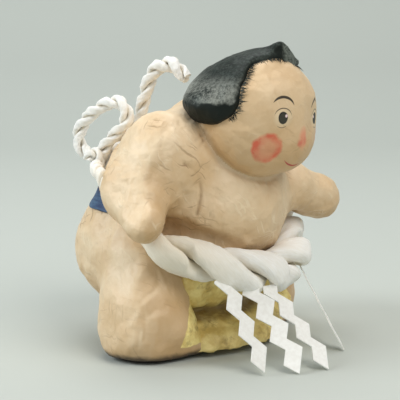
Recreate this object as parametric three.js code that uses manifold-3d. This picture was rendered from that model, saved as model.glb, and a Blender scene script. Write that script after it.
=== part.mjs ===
// Papier-mache sumo doll wearing a champion's twisted rope, about 150 mm tall.
// Millimetres, +Z up. The doll faces -Y, its right hand is towards -X, and it stands on z = 0.
import * as THREE from 'three';
import { mergeVertices } from 'three/addons/utils/BufferGeometryUtils.js';
import Module from 'manifold-3d';

const wasm = await Module();
wasm.setup();

// Paper shells: the wall, the gap where two pieces meet, and how softly neighbouring swellings run together
const PAPER_WALL = 2.2;
const SEAM_GAP = 0.3;
const SOFTNESS = 10;

// Facets round and down each rounded form
const TORSO_ACROSS = 32;
const TORSO_DOWN = 24;
const LIMB_ACROSS = 24;
const LIMB_DOWN = 16;
const HEAD_ACROSS = 24;
const HEAD_DOWN = 18;
const KNOT_ACROSS = 16;
const KNOT_DOWN = 12;

// Torso swellings, each with its centre and its three half sizes
const HIPS = { centre: [0, 18, 49], radii: [42, 36, 30] };
const BUTTOCK = { centre: [22, 23.5, 50], radii: [28, 30, 27] };
const BELLY = { centre: [0, -12, 70], radii: [39, 33, 33] };
const BACK = { centre: [0, 14, 79], radii: [35, 37, 29] };
const CHEST = { centre: [0, -6, 94], radii: [38, 28, 29] };

// The side seam of the torso runs down from the shoulder to the hip
const SEAM_AT_SHOULDER = { y: -4, z: 95 };
const SEAM_AT_HIP = { y: 10, z: 45 };

// Legs taper from the hip to the ankle, above a rounded foot
const LEG = { root: [34, 8, 43], rootRadius: 22.5, end: [46, 0, 20], endRadius: 21 };
const FOOT = { centre: [46, -2, 11], radii: [22, 22, 14] };

// Arms swell at the shoulder and taper to a blunt end
const RIGHT_SHOULDER = { centre: [-37, -3, 95], radii: [21, 20, 22] };
const RIGHT_ARM = { root: [-53, -1, 81], rootRadius: 14.5, end: [-66, -15, 70.5], endRadius: 9 };
const LEFT_SHOULDER = { centre: [36, -5, 92], radii: [20, 20, 21] };
const LEFT_ARM = { root: [38, -27, 76], rootRadius: 12, end: [60, -32, 67.5], endRadius: 10.5 };
const LIMB_SOFTNESS = 8;

// Base sheet under the feet
const BASE_THICKNESS = 1.4;
const BASE_RADIUS = 14;

// Head, and the seam between the face and the back of the head
const HEAD = { centre: [0, -33, 115], radii: [30, 28, 28] };
const JOWL = { centre: [0, -36, 107], radii: [27, 26.5, 19] };
const FACE_SEAM_BEHIND_CENTRE = 3;

// Hair: a thin painted cover over the crown, thick rolls at the back and sides, and the topknot ridge
const HAIR_COVER = 1.6;
const BACK_HAIR = { centre: [0, -20, 123], radii: [27, 20, 16] };
const SIDE_HAIR = { centre: [19, -26, 122], radii: [14.5, 15, 12.5] };
const HAIR_SOFTNESS = 6;
const HAIRLINE_Y = -42;
const NAPE_LINE_Z = 112;
const SIDEBURN_FRONT = { y: -42, z: 120 };
const SIDEBURN_BACK = { y: -33, z: 112 };
const TOPKNOT = { root: [0, -15, 131.5], rootRadius: 7, end: [0, -45, 141.5], endRadius: 8.5 };

// Gold apron: its front profile from top to bottom, its thickness, half width and how far its sides fall back
const APRON_PROFILE = [[-30, 46], [-33, 38], [-31, 30], [-22, 22], [-23, 15], [-31, 8], [-32, 2]];
const APRON_THICKNESS = 3;
const APRON_HALF_WIDTH = 38;
const APRON_FALL_BACK = 22;
const APRON_STEPS_DOWN = 16;
const APRON_STEPS_ACROSS = 10;

// Blue waist band around the back
const BELT_THICKNESS = 0.6;
const BELT_BOTTOM = 66.5;
const BELT_WIDTH = 7;
const BELT_FRONT_Y = 2;

// Waist rope, thick in front and thin at the knot behind: the height of its middle line, its radius and the
// length of one twist, at angles round the doll from the knot by way of its left side, front and right side
const ROPE_STATIONS = [
  { around: -192, height: 85, radius: 3.2, twist: 30 },
  { around: -154, height: 71, radius: 3.8, twist: 32 },
  { around: -115, height: 59, radius: 5.4, twist: 40 },
  { around: -77, height: 51, radius: 8, twist: 56 },
  { around: -38, height: 44.5, radius: 9.2, twist: 66 },
  { around: 0, height: 39.5, radius: 9.6, twist: 68 },
  { around: 34, height: 44.5, radius: 9.2, twist: 66 },
  { around: 68, height: 52, radius: 8.8, twist: 62 },
  { around: 78, height: 55.5, radius: 7.2, twist: 56 },
  { around: 86, height: 58.5, radius: 5, twist: 46 },
  { around: 93, height: 60, radius: 3.8, twist: 34 },
  { around: 104, height: 65.2, radius: 3.3, twist: 30 },
  { around: 116, height: 73, radius: 3.2, twist: 30 },
  { around: 134, height: 80.5, radius: 3.2, twist: 30 },
  { around: 168, height: 85, radius: 3.2, twist: 30 },
];
const ROPE_TWIST_AT_FRONT = 200;
const ROPE_STRAND_BREADTH = { least: 0.5, most: 0.68 };
const ROPE_STRAND_GAP = 0.8;
const ROPE_CENTRE_Y = -2;
const ROPE_END_ANGLE = 8;
const ROPE_ANGLE_STEP = 8;
const ROPE_STEPS_PER_TURN = 8;
const ROPE_SIDES = 8;

// Knot at the back, right of the middle, with one standing loop and one upright tail
const KNOT_RADII = [8.5, 5.5, 7];
const KNOT_HEIGHT = 87;
const CORD_RADIUS = 3;
const LOOP_POINTS = [[-13, 48.5, 96], [-13, 40, 106], [-13, 34, 112], [-13, 35, 117.5], [-13, 44, 119.5],
  [-13, 58.5, 112.5], [-13, 67.5, 105], [-13, 69.5, 97.5], [-13, 65, 91.5], [-13, 59, 89]];
const TAIL_POINTS = [[-3.5, 49.5, 94], [-1.5, 44.5, 101], [0, 38.5, 108], [0, 34.3, 120], [0, 29.5, 131],
  [0, 22.8, 136], [0, 15.3, 135.5], [0, 8, 130]];
const TAIL_TIP_RADIUS = 1.8;
const TAIL_TIP_SHARE = 0.8;
const CORD_SIDES = 8;
const LOOP_STEPS = 32;
const TAIL_STEPS = 20;

// Zigzag paper streamers: panel size, the slope of its ends and the neck between panels. Each one starts at an
// angle round the rope, faces a direction, leans out, slants in its own plane and steps to the left or the right.
const PAPER_THICKNESS = 0.5;
const PANEL_WIDTH = 7.8;
const PANEL_HEIGHT = 14;
const PANEL_SLOPE = 3;
const PANEL_NECK = 5.8;
const PANEL_COUNT = 4;
const STREAMERS = [
  { around: 42.4, facing: 13.5, lean: 37.3, slant: -34, drop: -1.2, towards: 1 },
  { around: 20.4, facing: 48, lean: 41.9, slant: -12, drop: 1.2, towards: 1 },
  { around: 5.4, facing: 14, lean: 48.7, slant: -30, drop: 3.2, towards: 1 },
  { around: -34, facing: -35.5, lean: 29.5, slant: 2, drop: 0, towards: -1 },
];

// Finishes
const SKIN = { color: 0xe2c8a0, roughness: 0.7, metalness: 0 };
const BLACK = { color: 0x22282a, roughness: 0.45, metalness: 0 };
const GOLD = { color: 0xa8934a, roughness: 0.45, metalness: 0.5 };
const BLUE = { color: 0x2f5690, roughness: 0.6, metalness: 0 };
const WHITE_ROPE = { color: 0xf0efea, roughness: 0.85, metalness: 0 };
const WHITE_PAPER = { color: 0xf6f6f4, roughness: 0.75, metalness: 0 };

const doll = new THREE.Group();

// Solids

function toSolid(geometry) {
  const bare = geometry.clone();
  bare.deleteAttribute('normal');
  bare.deleteAttribute('uv');
  const merged = mergeVertices(bare, 1e-4);
  const vertProperties = new Float32Array(merged.attributes.position.array);
  const triVerts = new Uint32Array(merged.index.array);
  return new wasm.Manifold(new wasm.Mesh({ numProp: 3, vertProperties, triVerts }));
}

function addPiece(name, solid, finish) {
  const { vertProperties, triVerts } = solid.getMesh();
  const geometry = new THREE.BufferGeometry();
  geometry.setAttribute('position', new THREE.BufferAttribute(vertProperties, 3));
  geometry.setIndex(new THREE.BufferAttribute(triVerts, 1));
  geometry.computeVertexNormals();
  const mesh = new THREE.Mesh(geometry, new THREE.MeshStandardMaterial(finish));
  mesh.name = name;
  doll.add(mesh);
}

// Fields: negative inside a swelling, positive outside, roughly in millimetres

function swelling({ centre, radii }, side = 1) {
  const [cx, cy, cz] = centre;
  const [rx, ry, rz] = radii;
  return (p) => {
    const x = (p.x - side * cx) / rx;
    const y = (p.y - cy) / ry;
    const z = (p.z - cz) / rz;
    const near = Math.hypot(x, y, z);
    const slope = Math.hypot(x / rx, y / ry, z / rz);
    return slope > 0 ? (near * (near - 1)) / slope : -Math.min(rx, ry, rz);
  };
}

function taper({ root, end, rootRadius, endRadius }, side = 1) {
  const from = new THREE.Vector3(side * root[0], root[1], root[2]);
  const along = new THREE.Vector3(side * end[0], end[1], end[2]).sub(from);
  const reach = along.lengthSq();
  const offset = new THREE.Vector3();
  return (p) => {
    offset.copy(p).sub(from);
    const t = THREE.MathUtils.clamp(offset.dot(along) / reach, 0, 1);
    offset.addScaledVector(along, -t);
    return offset.length() - THREE.MathUtils.lerp(rootRadius, endRadius, t);
  };
}

function runTogether(fields, softness) {
  return (p) => fields.map((field) => field(p)).reduce((a, b) => {
    const h = Math.max(softness - Math.abs(a - b), 0) / softness;
    return Math.min(a, b) - h * h * softness * 0.25;
  });
}

// Distance from a point inside a field, along a direction, to where the field reaches a level
function reachAlong(field, from, direction, level) {
  const step = 1;
  const p = new THREE.Vector3();
  let far = step;
  while (field(p.copy(from).addScaledVector(direction, far)) < level) {
    far += step;
  }
  let near = far - step;
  for (let i = 0; i < 14; i += 1) {
    const middle = (near + far) / 2;
    if (field(p.copy(from).addScaledVector(direction, middle)) < level) {
      near = middle;
    } else {
      far = middle;
    }
  }
  return far;
}

// A ball of paper pressed out from a centre until it fills a field, swollen or shrunk by an offset
function moulded(field, centre, across, down, offset) {
  const ball = new THREE.SphereGeometry(1, across, down).rotateX(Math.PI / 2);
  const from = new THREE.Vector3(...centre);
  const { position } = ball.attributes;
  const direction = new THREE.Vector3();
  for (let i = 0; i < position.count; i += 1) {
    direction.fromBufferAttribute(position, i).normalize();
    const reach = reachAlong(field, from, direction, offset);
    position.setXYZ(i, ...from.clone().addScaledVector(direction, reach));
  }
  return toSolid(ball);
}

// One form: its outside, its hollow with fewer facets, and its outside with the seam gap round it
function paperForm(field, centre, across, down) {
  return {
    field,
    outside: moulded(field, centre, across, down, 0),
    hollow: moulded(field, centre, Math.round(across / 2), Math.round(down / 2), -PAPER_WALL),
    clear: moulded(field, centre, across, down, SEAM_GAP),
  };
}

function shellOf(form) {
  return form.outside.subtract(form.hollow);
}

// Two halves of a solid either side of a plane, with the seam gap between them
function halves(solid, normal, level) {
  const back = [-normal[0], -normal[1], -normal[2]];
  return [
    solid.trimByPlane(normal, level + SEAM_GAP / 2),
    solid.trimByPlane(back, -level + SEAM_GAP / 2),
  ];
}

// Upright plane across the doll through two points of its side view: its unit normal and its level
function sidePlane(a, b) {
  const normal = new THREE.Vector3(0, a.z - b.z, b.y - a.y).normalize();
  return { normal: normal.toArray(), level: normal.y * a.y + normal.z * a.z };
}

// Torso: two half shells joined down the sides

const torsoMiddle = [0, (HIPS.centre[1] + BELLY.centre[1]) / 2, BELLY.centre[2]];
const torso = paperForm(
  runTogether([
    swelling(HIPS), swelling(BUTTOCK, 1), swelling(BUTTOCK, -1), swelling(BELLY), swelling(BACK), swelling(CHEST),
  ], SOFTNESS),
  torsoMiddle, TORSO_ACROSS, TORSO_DOWN,
);
const sideSeam = sidePlane(SEAM_AT_SHOULDER, SEAM_AT_HIP);
const [torsoRear, torsoFront] = halves(shellOf(torso), sideSeam.normal, sideSeam.level);
addPiece('torso_front', torsoFront, SKIN);
addPiece('torso_rear', torsoRear, SKIN);

// Legs: hollow stubs that end on the torso above and on the base sheet below

const FOOT_LEVEL = BASE_THICKNESS + SEAM_GAP;

function legForm(side) {
  const field = runTogether([taper(LEG, side), swelling(FOOT, side)], LIMB_SOFTNESS);
  return paperForm(field, [side * LEG.end[0], LEG.end[1], LEG.end[2]], LIMB_ACROSS, LIMB_DOWN);
}

const legs = { right: legForm(-1), left: legForm(1) };
for (const [side, leg] of Object.entries(legs)) {
  const shell = shellOf(leg).subtract(torso.clear).trimByPlane([0, 0, 1], FOOT_LEVEL);
  addPiece(`${side}_leg`, shell, SKIN);
}

const baseOutline = new THREE.Shape();
baseOutline.absarc(FOOT.centre[0], FOOT.centre[1], BASE_RADIUS, -Math.PI / 2, Math.PI / 2);
baseOutline.absarc(-FOOT.centre[0], FOOT.centre[1], BASE_RADIUS, Math.PI / 2, (3 * Math.PI) / 2);
const baseSheet = new THREE.ExtrudeGeometry(baseOutline, {
  depth: BASE_THICKNESS, bevelEnabled: false, curveSegments: 12,
});
addPiece('base_sheet', toSolid(baseSheet), SKIN);

// Arms: tapered hollow stubs that end on the torso

function armForm(shoulder, arm) {
  const upperArm = { root: shoulder.centre, rootRadius: arm.rootRadius, end: arm.root, endRadius: arm.rootRadius };
  const field = runTogether([swelling(shoulder), taper(upperArm), taper(arm)], LIMB_SOFTNESS);
  return paperForm(field, arm.root, LIMB_ACROSS, LIMB_DOWN);
}

const arms = { right: armForm(RIGHT_SHOULDER, RIGHT_ARM), left: armForm(LEFT_SHOULDER, LEFT_ARM) };
for (const [side, arm] of Object.entries(arms)) {
  addPiece(`${side}_arm`, shellOf(arm).subtract(torso.clear), SKIN);
}

// Head: the face and the back of the head

const headField = runTogether([swelling(HEAD), swelling(JOWL)], LIMB_SOFTNESS);
const head = paperForm(headField, HEAD.centre, HEAD_ACROSS, HEAD_DOWN);
const faceSeam = HEAD.centre[1] + FACE_SEAM_BEHIND_CENTRE;
const headShell = shellOf(head).subtract(torso.clear);
const [headRear, face] = halves(headShell, [0, 1, 0], faceSeam);
addPiece('face_shell', face, SKIN);
addPiece('head_rear', headRear, SKIN);

// Hair: a cover and rolls behind the hairline, and the topknot ridge on it

const hairField = runTogether([
  (p) => headField(p) - HAIR_COVER, swelling(BACK_HAIR), swelling(SIDE_HAIR, 1), swelling(SIDE_HAIR, -1),
], HAIR_SOFTNESS);
const hairMiddle = [0, SIDE_HAIR.centre[1], SIDE_HAIR.centre[2]];
const sideburn = sidePlane(SIDEBURN_FRONT, SIDEBURN_BACK);
const hair = moulded(hairField, hairMiddle, HEAD_ACROSS, HEAD_DOWN, 0)
  .trimByPlane([0, 1, 0], HAIRLINE_Y)
  .trimByPlane([0, 0, 1], NAPE_LINE_Z)
  .trimByPlane(sideburn.normal, sideburn.level)
  .subtract(head.clear)
  .subtract(torso.clear);
addPiece('hair_cap', hair, BLACK);

const topknotMiddle = TOPKNOT.root.map((value, axis) => (value + TOPKNOT.end[axis]) / 2);
const topknot = moulded(taper(TOPKNOT), topknotMiddle, KNOT_ACROSS, KNOT_DOWN, 0)
  .subtract(moulded(hairField, hairMiddle, HEAD_ACROSS, HEAD_DOWN, SEAM_GAP));
addPiece('topknot', topknot, BLACK);

// Gold apron: a curved panel hung from the waist to the ground between the legs

const apronFront = new THREE.SplineCurve(APRON_PROFILE.map(([y, z]) => new THREE.Vector2(y, z)));

function apronFallBack(x) {
  return APRON_FALL_BACK * (x / APRON_HALF_WIDTH) ** 2;
}

function apronPanel() {
  const front = apronFront.getSpacedPoints(APRON_STEPS_DOWN);
  const back = [...front].reverse().map((point) => new THREE.Vector2(point.x + APRON_THICKNESS, point.y));
  const panel = new THREE.ExtrudeGeometry(new THREE.Shape([...front, ...back]), {
    depth: 2 * APRON_HALF_WIDTH, steps: APRON_STEPS_ACROSS, bevelEnabled: false,
  });
  panel.applyMatrix4(new THREE.Matrix4().set(0, 0, 1, -APRON_HALF_WIDTH, 1, 0, 0, 0, 0, 1, 0, 0, 0, 0, 0, 1));
  const { position } = panel.attributes;
  for (let i = 0; i < position.count; i += 1) {
    position.setY(i, position.getY(i) + apronFallBack(position.getX(i)));
  }
  return toSolid(panel);
}

const apron = apronPanel().subtract(torso.clear).subtract(legs.right.clear).subtract(legs.left.clear);
addPiece('gold_apron', apron, GOLD);

// Blue waist band: a strip pasted round the back of the waist

const band = moulded(torso.field, torsoMiddle, TORSO_ACROSS, TORSO_DOWN, SEAM_GAP + BELT_THICKNESS)
  .subtract(torso.clear)
  .trimByPlane([0, 0, 1], BELT_BOTTOM)
  .trimByPlane([0, 0, -1], -BELT_BOTTOM - BELT_WIDTH)
  .trimByPlane([0, 1, 0], BELT_FRONT_Y)
  .subtract(arms.right.clear)
  .subtract(arms.left.clear);
addPiece('blue_belt', band, BLUE);

// Waist rope: two strands twisted about one line that lies on the body

const knotAround = ROPE_STATIONS[ROPE_STATIONS.length - 1].around;
const thickest = Math.max(...ROPE_STATIONS.map((station) => station.radius));
const thinnest = Math.min(...ROPE_STATIONS.map((station) => station.radius));

// Height, radius and twist of the rope at an angle about the doll, positive on its right
function ropeAt(angle) {
  const next = Math.max(1, ROPE_STATIONS.findIndex((station) => station.around >= angle));
  const [a, b] = ROPE_STATIONS.slice(next - 1, next + 1);
  const between = THREE.MathUtils.clamp((angle - a.around) / (b.around - a.around), 0, 1);
  return {
    height: THREE.MathUtils.lerp(a.height, b.height, between),
    radius: THREE.MathUtils.lerp(a.radius, b.radius, between),
    twist: THREE.MathUtils.lerp(a.twist, b.twist, between),
  };
}

function onWaist(angle, radius, height) {
  const turn = THREE.MathUtils.degToRad(angle);
  const outward = new THREE.Vector3(-Math.sin(turn), -Math.cos(turn), 0);
  const from = new THREE.Vector3(0, ROPE_CENTRE_Y, height);
  const field = (p) => Math.min(torso.field(p), legs.right.field(p), legs.left.field(p));
  const reach = reachAlong(field, from, outward, radius + SEAM_GAP + BELT_THICKNESS);
  return from.addScaledVector(outward, reach);
}

const ropeAngles = [];
for (let round = ROPE_END_ANGLE; round <= 360 - ROPE_END_ANGLE; round += ROPE_ANGLE_STEP) {
  ropeAngles.push(knotAround - round);
}

function ropeMiddle(angle) {
  const { radius, height } = ropeAt(angle);
  return onWaist(angle, radius, height);
}

const ropeLine = new THREE.CatmullRomCurve3(ropeAngles.map(ropeMiddle));

// A tube along a line, each ring of unit radius reshaped by a function of its place and its offset
function shapedTube(line, steps, sides, reshape) {
  const section = new THREE.Shape().absarc(0, 0, 1, 0, 2 * Math.PI);
  const tube = new THREE.ExtrudeGeometry(section, { steps, curveSegments: sides / 2, extrudePath: line });
  const middles = line.getSpacedPoints(steps);
  const { position } = tube.attributes;
  const point = new THREE.Vector3();
  for (let i = 0; i < position.count; i += 1) {
    point.fromBufferAttribute(position, i);
    const gaps = middles.map((middle) => middle.distanceTo(point));
    const nearest = gaps.indexOf(Math.min(...gaps));
    reshape(point.sub(middles[nearest]), nearest);
    position.setXYZ(i, ...point.add(middles[nearest]));
  }
  return toSolid(tube);
}

// Angle about the doll of a point of the rope, from the knot on the right round to the knot on the left
function angleRound(p) {
  const angle = THREE.MathUtils.radToDeg(Math.atan2(-p.x, ROPE_CENTRE_Y - p.y));
  return angle > knotAround ? angle - 360 : angle;
}

// How far the rope has twisted at many close places along it
const closePlaces = ropeLine.getSpacedPoints(ropeAngles.length * ROPE_ANGLE_STEP);
const closeTwists = [0];
for (let i = 1; i < closePlaces.length; i += 1) {
  const { twist } = ropeAt(angleRound(closePlaces[i]));
  closeTwists.push(closeTwists[i - 1] + closePlaces[i].distanceTo(closePlaces[i - 1]) / twist);
}

// Steps along the rope at equal parts of a twist: the middle, the radius and the two directions across it
const ropeStepCount = Math.round(closeTwists[closeTwists.length - 1] * ROPE_STEPS_PER_TURN);
const ropeSteps = [];
for (let i = 0; i <= ropeStepCount; i += 1) {
  const twisted = i / ROPE_STEPS_PER_TURN;
  const place = Math.max(1, Math.min(closePlaces.length - 2, closeTwists.findIndex((value) => value >= twisted)));
  const middle = closePlaces[place];
  const around = angleRound(middle);
  const along = closePlaces[place + 1].clone().sub(closePlaces[place - 1]).normalize();
  const up = new THREE.Vector3(0, 0, 1).addScaledVector(along, -along.z).normalize();
  const out = new THREE.Vector3().crossVectors(up, along);
  ropeSteps.push({ middle, around, radius: ropeAt(around).radius, up, out, turned: -2 * Math.PI * closeTwists[place] });
}

const frontStep = ropeSteps.reduce((a, b) => (Math.abs(b.around) < Math.abs(a.around) ? b : a));

// One strand: an oval tube, flattened where it presses on the other strand
function ropeStrand(startTurn, swell) {
  const spokes = ropeSteps.map((step) => {
    const turn = startTurn + step.turned - frontStep.turned;
    return step.out.clone().multiplyScalar(Math.cos(turn)).addScaledVector(step.up, Math.sin(turn));
  });
  const points = ropeSteps.map((step, i) => step.middle.clone().addScaledVector(spokes[i], step.radius / 2));
  const line = new THREE.CatmullRomCurve3(points);
  line.getUtoTmapping = (share) => share;
  return shapedTube(line, ropeStepCount, ROPE_SIDES, (offset, i) => {
    const { radius } = ropeSteps[i];
    const outward = offset.dot(spokes[i]);
    const { least, most } = ROPE_STRAND_BREADTH;
    const broad = radius * THREE.MathUtils.mapLinear(radius, thinnest, thickest, least, most) + swell;
    const deep = (radius * Math.cos(Math.PI / ROPE_STEPS_PER_TURN) - ROPE_STRAND_GAP) / 2 + swell;
    offset.multiplyScalar(broad).addScaledVector(spokes[i], outward * (deep - broad));
  });
}

// Knot, with the loop and the tail that come out of it

const knotCentre = onWaist(knotAround, KNOT_RADII[1], KNOT_HEIGHT);

function knotBall(swell) {
  const ball = new THREE.SphereGeometry(1, KNOT_ACROSS, KNOT_DOWN).rotateX(Math.PI / 2);
  ball.scale(...KNOT_RADII.map((radius) => radius + swell));
  ball.translate(...knotCentre);
  return toSolid(ball);
}

const knotClear = knotBall(SEAM_GAP);
const firstTurn = THREE.MathUtils.degToRad(ROPE_TWIST_AT_FRONT);
const strandTurns = [firstTurn, firstTurn + Math.PI];
strandTurns.forEach((turn, i) => {
  addPiece(`rope_strand_${i + 1}`, ropeStrand(turn, 0).subtract(knotClear), WHITE_ROPE);
});
addPiece('rope_knot', knotBall(0), WHITE_ROPE);

function cordLine(points) {
  return new THREE.CatmullRomCurve3([knotCentre, ...points.map((point) => new THREE.Vector3(...point))]);
}

const loopLine = cordLine([...LOOP_POINTS, knotCentre.toArray()]);
const loop = shapedTube(loopLine, LOOP_STEPS, CORD_SIDES, (offset) => offset.multiplyScalar(CORD_RADIUS));
addPiece('rope_loop', loop.subtract(knotClear), WHITE_ROPE);
const tail = shapedTube(cordLine(TAIL_POINTS), TAIL_STEPS, CORD_SIDES, (offset, i) => {
  const thin = THREE.MathUtils.smoothstep(i / TAIL_STEPS, TAIL_TIP_SHARE, 1);
  offset.multiplyScalar(THREE.MathUtils.lerp(CORD_RADIUS, TAIL_TIP_RADIUS, thin));
});
addPiece('rope_tail', tail.subtract(knotClear), WHITE_ROPE);

// Paper streamers: zigzag sheets that hang from under the rope and splay out to the ground

function zigzagOutline() {
  const stepDown = PANEL_SLOPE + PANEL_HEIGHT - PANEL_NECK;
  const right = [];
  const left = [];
  for (let i = 0; i < PANEL_COUNT; i += 1) {
    const x = i * PANEL_WIDTH - PANEL_WIDTH / 2;
    const y = -i * stepDown;
    right.push(new THREE.Vector2(x, y), new THREE.Vector2(x + PANEL_WIDTH, y - PANEL_SLOPE));
    left.push(
      new THREE.Vector2(x, y - PANEL_HEIGHT),
      new THREE.Vector2(x + PANEL_WIDTH, y - PANEL_SLOPE - PANEL_HEIGHT),
    );
  }
  return [...right, ...left.reverse()];
}

const zigzag = new THREE.ExtrudeGeometry(new THREE.Shape(zigzagOutline()), {
  depth: PAPER_THICKNESS, bevelEnabled: false,
});
zigzag.translate(0, 0, -PAPER_THICKNESS / 2);
const ropeClear = ropeStrand(strandTurns[0], SEAM_GAP).add(ropeStrand(strandTurns[1], SEAM_GAP));

function streamer({ around, facing, lean, slant, drop, towards }) {
  const turn = THREE.MathUtils.degToRad(facing);
  const tilt = THREE.MathUtils.degToRad(lean);
  const across = new THREE.Vector3(Math.cos(turn), -Math.sin(turn), 0);
  const outward = new THREE.Vector3(-Math.sin(turn), -Math.cos(turn), 0);
  const up = outward.multiplyScalar(-Math.sin(tilt)).setZ(Math.cos(tilt));
  const normal = new THREE.Vector3().crossVectors(across, up);
  const start = ropeMiddle(around);
  const sheet = zigzag.clone().translate(0, -drop, 0).rotateZ(THREE.MathUtils.degToRad(slant));
  if (towards < 0) {
    sheet.rotateY(Math.PI);
  }
  sheet.applyMatrix4(new THREE.Matrix4().makeBasis(across, up, normal).setPosition(start));
  let paper = toSolid(sheet);
  let level = up.dot(start);
  while (!paper.intersect(ropeClear).isEmpty()) {
    level -= SEAM_GAP;
    paper = paper.trimByPlane(up.clone().negate().toArray(), -level);
  }
  return paper;
}

STREAMERS.forEach((place, i) => {
  addPiece(`streamer_${i + 1}`, streamer(place), WHITE_PAPER);
});

export default doll;
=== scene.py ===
import math

import bmesh
import bpy
import numpy as np
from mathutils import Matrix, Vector


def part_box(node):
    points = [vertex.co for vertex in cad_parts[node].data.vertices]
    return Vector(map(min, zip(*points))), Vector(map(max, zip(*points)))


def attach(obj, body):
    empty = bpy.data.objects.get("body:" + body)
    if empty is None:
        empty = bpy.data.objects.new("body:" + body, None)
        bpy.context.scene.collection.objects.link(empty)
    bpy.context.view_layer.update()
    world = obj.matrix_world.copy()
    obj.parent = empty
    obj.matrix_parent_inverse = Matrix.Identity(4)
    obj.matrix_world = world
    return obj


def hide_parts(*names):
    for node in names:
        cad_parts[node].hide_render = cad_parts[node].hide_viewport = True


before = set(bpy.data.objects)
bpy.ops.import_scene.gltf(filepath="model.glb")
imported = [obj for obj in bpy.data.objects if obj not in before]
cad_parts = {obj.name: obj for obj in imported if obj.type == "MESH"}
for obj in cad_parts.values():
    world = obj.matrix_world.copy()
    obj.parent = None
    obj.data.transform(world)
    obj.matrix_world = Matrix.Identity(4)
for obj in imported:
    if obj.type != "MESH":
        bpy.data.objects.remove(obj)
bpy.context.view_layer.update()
scene = bpy.context.scene
MM = 0.001


# Camera: a long lens at arm's length, a little above the doll and off its right front.
# It is aimed just under half the doll's height, so that the whole figure stands in the picture.
camera = bpy.data.objects.new("camera", bpy.data.cameras.new("camera"))
scene.collection.objects.link(camera)
camera.data.sensor_width = 36
camera.data.lens = 144
camera.data.shift_y = 0.0075
azimuth, elevation = math.radians(-54.5), math.radians(10)
away = Vector((
    math.sin(azimuth) * math.cos(elevation),
    -math.cos(azimuth) * math.cos(elevation),
    math.sin(elevation),
))
aim = Vector((0, 0, 68 * MM))
camera_distance = 0.8
camera.location = aim + camera_distance * away
camera.rotation_euler = away.to_track_quat("Z", "Y").to_euler()
scene.camera = camera


# Loop and tail of the tie: thin cord laid from two strands of soft white cotton.
# Both come out of the knot behind the waist, the loop turns back into it,
# and the tail stands up behind the head and ends in a cut tip.
def srgb(red, green, blue):
    def linear(value):
        value /= 255
        return value / 12.92 if value <= 0.04045 else ((value + 0.055) / 1.055) ** 2.4
    return (linear(red), linear(green), linear(blue), 1)


def feed(tree, node, inputs):
    for key, value in inputs.items():
        if isinstance(value, bpy.types.NodeSocket):
            tree.links.new(value, node.inputs[key])
        else:
            node.inputs[key].default_value = value


def add(tree, kind, inputs=None, **settings):
    node = tree.nodes.new(kind)
    for key, value in settings.items():
        setattr(node, key, value)
    feed(tree, node, inputs or {})
    return node.outputs


def maths(tree, operation, *values, clamp=False):
    inputs = dict(enumerate(values))
    return add(tree, "ShaderNodeMath", inputs, operation=operation, use_clamp=clamp)[0]


def times(tree, value, *factors):
    for factor in factors:
        value = maths(tree, "MULTIPLY", value, factor)
    return value


def minus(tree, value, taken, clamp=False):
    return maths(tree, "SUBTRACT", value, taken, clamp=clamp)


def vector_maths(tree, operation, first, second):
    return add(tree, "ShaderNodeVectorMath", {0: first, 1: second}, operation=operation)[0]


def scaled(tree, vector, amount):
    inputs = {0: vector, "Scale": amount}
    return add(tree, "ShaderNodeVectorMath", inputs, operation="SCALE")[0]


def axes(tree, vector):
    return add(tree, "ShaderNodeSeparateXYZ", {0: vector})


def mixed(tree, amount, first, second):
    inputs = {0: amount, 6: first, 7: second}
    return add(tree, "ShaderNodeMix", inputs, data_type="RGBA")[2]


def painted(tree, colour, mask, strength, paint):
    return mixed(tree, times(tree, mask, strength), colour, paint)


def stepped(tree, value, low, high):
    inputs = {"Value": value, "From Min": low, "From Max": high}
    return add(tree, "ShaderNodeMapRange", inputs, interpolation_type="SMOOTHSTEP")["Result"]


def noise(tree, place, scale, detail, **inputs):
    inputs = {"Vector": place, "Scale": scale, "Detail": detail, **inputs}
    return add(tree, "ShaderNodeTexNoise", inputs)


def object_place(tree):
    return add(tree, "ShaderNodeTexCoord")["Object"]


def finish(name):
    material = bpy.data.materials.new(name)
    material.use_nodes = True
    tree = material.node_tree
    return material, tree, tree.nodes["Principled BSDF"]


def embossed(tree, shader, height, strength, depth):
    inputs = {"Height": height, "Strength": strength, "Distance": depth}
    feed(tree, shader, {"Normal": add(tree, "ShaderNodeBump", inputs)[0]})


def piece(name, mesh):
    made = bpy.data.objects.new(name, mesh)
    scene.collection.objects.link(made)
    return made


def evaluated(made):
    graph = bpy.context.evaluated_depsgraph_get()
    mesh = bpy.data.meshes.new_from_object(made.evaluated_get(graph))
    old = made.data
    made.modifiers.clear()
    made.data = mesh
    bpy.data.meshes.remove(old)
    return made


def node_group(name, kind, inputs, outputs):
    tree = bpy.data.node_groups.new(name, kind + "NodeTree")
    for in_out, sockets in (("INPUT", inputs), ("OUTPUT", outputs)):
        for socket, value_kind in sockets.items():
            tree.interface.new_socket(socket, in_out=in_out, socket_type="NodeSocket" + value_kind)
    return tree, add(tree, "NodeGroupInput")


def shaped(tree, kind, inputs=None, **settings):
    return add(tree, "GeometryNode" + kind, inputs, **settings)[0]


def end_group(tree, geometry, material):
    real = shaped(tree, "RealizeInstances", {"Geometry": geometry})
    coated = shaped(tree, "SetMaterial", {"Geometry": real, "Material": material})
    add(tree, "NodeGroupOutput", {"Geometry": coated})


def grown(made, tree, values):
    modifier = made.modifiers.new(tree.name, "NODES")
    modifier.node_group = tree
    for item in tree.interface.items_tree:
        if item.in_out == "INPUT" and item.name in values:
            modifier[item.identifier] = values[item.name]
    return evaluated(made)


def pushed_out(tree, geometry, amount):
    push = scaled(tree, shaped(tree, "InputNormal"), amount)
    return shaped(tree, "SetPosition", {"Geometry": geometry, "Offset": push})


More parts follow.
